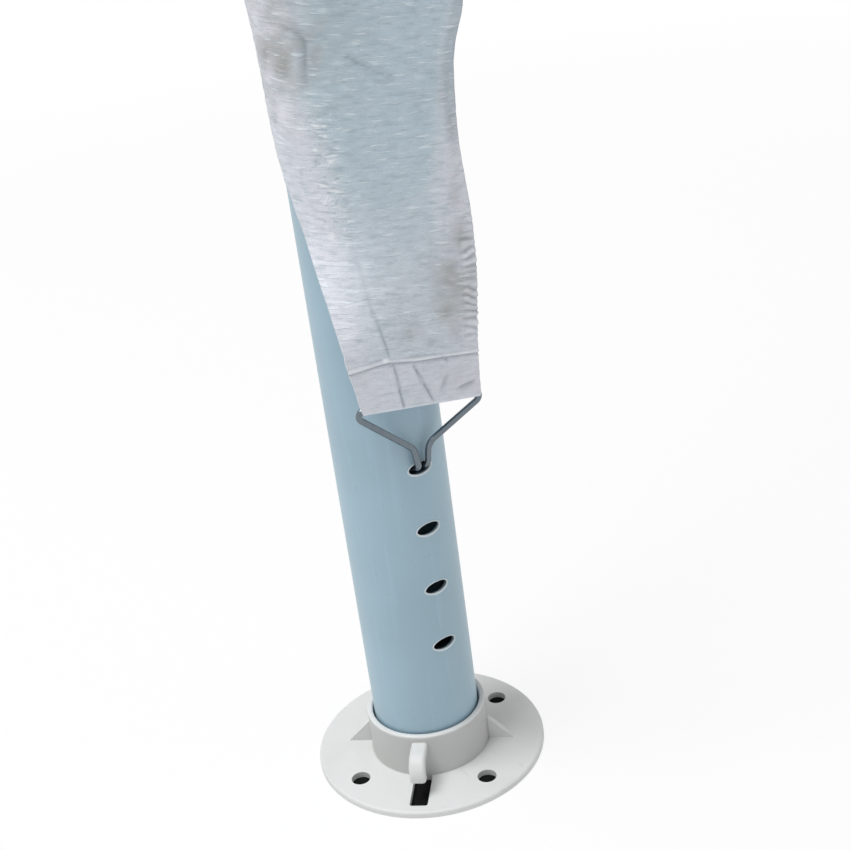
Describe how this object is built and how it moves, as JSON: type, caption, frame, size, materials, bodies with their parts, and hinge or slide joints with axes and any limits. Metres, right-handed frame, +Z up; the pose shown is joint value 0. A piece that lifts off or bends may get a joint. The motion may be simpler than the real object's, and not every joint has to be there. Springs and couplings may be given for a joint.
{
  "type": "rotary clothesline",
  "caption": "Compact folding rotary clothesline: slotted mast turning in a floor flange, square line frame that folds up on a runner, cloth cover hooked on the mast by a wire bail.",
  "frame": {"origin": "centre of the floor flange's underside", "axes": "+Z up along the mast; the mast's slots and the cover face -Y; arms lie on the diagonals"},
  "size_m": [0.9952, 0.9952, 1.43],
  "materials": {
    "flange_white": "matt moulded plastic",
    "mast_paint": "satin powder coat",
    "frame_alu": "satin anodised",
    "grey_plastic": "fine moulded grain",
    "bush_nylon": "natural nylon",
    "steel": "bright zinc",
    "cover_cloth": "thin slubbed cloth",
    "line_cord": "plastic covered cord"
  },
  "bodies": {
    "base": {"floor_flange": "flange_white", "foot_spigot": "grey_plastic", "spigot_screw": "steel", "thrust_washer": "bush_nylon"},
    "mast": {"foot_bush": "bush_nylon", "mast_lower": "mast_paint", "joint_sleeve": "grey_plastic", "sleeve_bush": "bush_nylon", "clamp_bolt": "steel", "clamp_nut": "steel", "lever_pin": "steel", "cover_hanger": "grey_plastic", "storage_cover": "cover_cloth"},
    "bail": {"tension_bail": "steel"},
    "lever": {"clamp_lever": "grey_plastic"},
    "upper_mast": {"mast_upper": "mast_paint", "guide_bush": "bush_nylon", "crown": "grey_plastic", "crown_cap": "grey_plastic", "strut_pins": "steel"},
    "runner": {"runner": "grey_plastic", "runner_bush": "bush_nylon", "arm_pins": "steel"},
    "knob": {"runner_knob": "grey_plastic"},
    "arm_1": {"arm_tube_1": "frame_alu", "arm_root_1": "grey_plastic", "arm_tip_1": "grey_plastic", "strut_saddle_1": "grey_plastic", "line_pegs_1": "grey_plastic", "line_1": "line_cord"},
    "strut_1": {"strut_1": "steel"},
    "arm_2": {"arm_tube_2": "frame_alu", "arm_root_2": "grey_plastic", "arm_tip_2": "grey_plastic", "strut_saddle_2": "grey_plastic", "line_pegs_2": "grey_plastic", "line_2": "line_cord"},
    "strut_2": {"strut_2": "steel"},
    "arm_3": {"arm_tube_3": "frame_alu", "arm_root_3": "grey_plastic", "arm_tip_3": "grey_plastic", "strut_saddle_3": "grey_plastic", "line_pegs_3": "grey_plastic", "line_3": "line_cord"},
    "strut_3": {"strut_3": "steel"},
    "arm_4": {"arm_tube_4": "frame_alu", "arm_root_4": "grey_plastic", "arm_tip_4": "grey_plastic", "strut_saddle_4": "grey_plastic", "line_pegs_4": "grey_plastic", "line_4": "line_cord"},
    "strut_4": {"strut_4": "steel"}
  },
  "joints": [
    {"name": "mast_spin", "type": "hinge", "parent": "base", "child": "mast", "pos_m": [0, 0, 0.0055], "axis": [0, 0, 1], "continuous": true},
    {"name": "bail_swing", "type": "hinge", "parent": "mast", "child": "bail", "pos_m": [0, -0.032, 0.1938], "axis": [-0.9799, 0, 0.1994], "range_deg": [0, 75]},
    {"name": "clamp_open", "type": "hinge", "parent": "mast", "child": "lever", "pos_m": [0.0194, 0.04, 0.632], "axis": [0, 0, 1], "range_deg": [0, 110]},
    {"name": "height_adjust", "type": "slide", "parent": "mast", "child": "upper_mast", "axis": [0, 0, 1], "range_m": [0, 0.12]},
    {"name": "fold", "type": "slide", "parent": "upper_mast", "child": "runner", "axis": [0, 0, 1], "range_m": [-0.3454, 0]},
    {"name": "knob_turn", "type": "hinge", "parent": "runner", "child": "knob", "pos_m": [0, -0.04, 1.054], "axis": [0, -1, 0], "range_deg": [0, 180]},
    {"name": "arm_1_fold", "type": "hinge", "parent": "runner", "child": "arm_1", "pos_m": [0.04377, 0.04377, 1.06], "axis": [0.7071, -0.7071, 0], "range_deg": [0, 62.01], "deforming": ["line_1"]},
    {"name": "strut_1_fold", "type": "hinge", "parent": "upper_mast", "child": "strut_1", "pos_m": [0.03536, 0.03536, 1.395], "axis": [-0.7071, 0.7071, 0], "range_deg": [0, 51.98]},
    {"name": "arm_2_fold", "type": "hinge", "parent": "runner", "child": "arm_2", "pos_m": [-0.04377, 0.04377, 1.06], "axis": [0.7071, 0.7071, 0], "range_deg": [0, 62.01], "deforming": ["line_2"]},
    {"name": "strut_2_fold", "type": "hinge", "parent": "upper_mast", "child": "strut_2", "pos_m": [-0.03536, 0.03536, 1.395], "axis": [-0.7071, -0.7071, 0], "range_deg": [0, 51.98]},
    {"name": "arm_3_fold", "type": "hinge", "parent": "runner", "child": "arm_3", "pos_m": [-0.04377, -0.04377, 1.06], "axis": [-0.7071, 0.7071, 0], "range_deg": [0, 62.01], "deforming": ["line_3"]},
    {"name": "strut_3_fold", "type": "hinge", "parent": "upper_mast", "child": "strut_3", "pos_m": [-0.03536, -0.03536, 1.395], "axis": [0.7071, -0.7071, 0], "range_deg": [0, 51.98]},
    {"name": "arm_4_fold", "type": "hinge", "parent": "runner", "child": "arm_4", "pos_m": [0.04377, -0.04377, 1.06], "axis": [-0.7071, -0.7071, 0], "range_deg": [0, 62.01], "deforming": ["line_4"]},
    {"name": "strut_4_fold", "type": "hinge", "parent": "upper_mast", "child": "strut_4", "pos_m": [0.03536, -0.03536, 1.395], "axis": [0.7071, 0.7071, 0], "range_deg": [0, 51.98]}
  ],
  "couplings": [
    {"joint": "arm_1_fold", "follows": "fold", "rad_per_m": -3.1329},
    {"joint": "strut_1_fold", "follows": "fold", "rad_per_m": -2.6261},
    {"joint": "arm_2_fold", "follows": "fold", "rad_per_m": -3.1329},
    {"joint": "strut_2_fold", "follows": "fold", "rad_per_m": -2.6261},
    {"joint": "arm_3_fold", "follows": "fold", "rad_per_m": -3.1329},
    {"joint": "strut_3_fold", "follows": "fold", "rad_per_m": -2.6261},
    {"joint": "arm_4_fold", "follows": "fold", "rad_per_m": -3.1329},
    {"joint": "strut_4_fold", "follows": "fold", "rad_per_m": -2.6261}
  ]
}
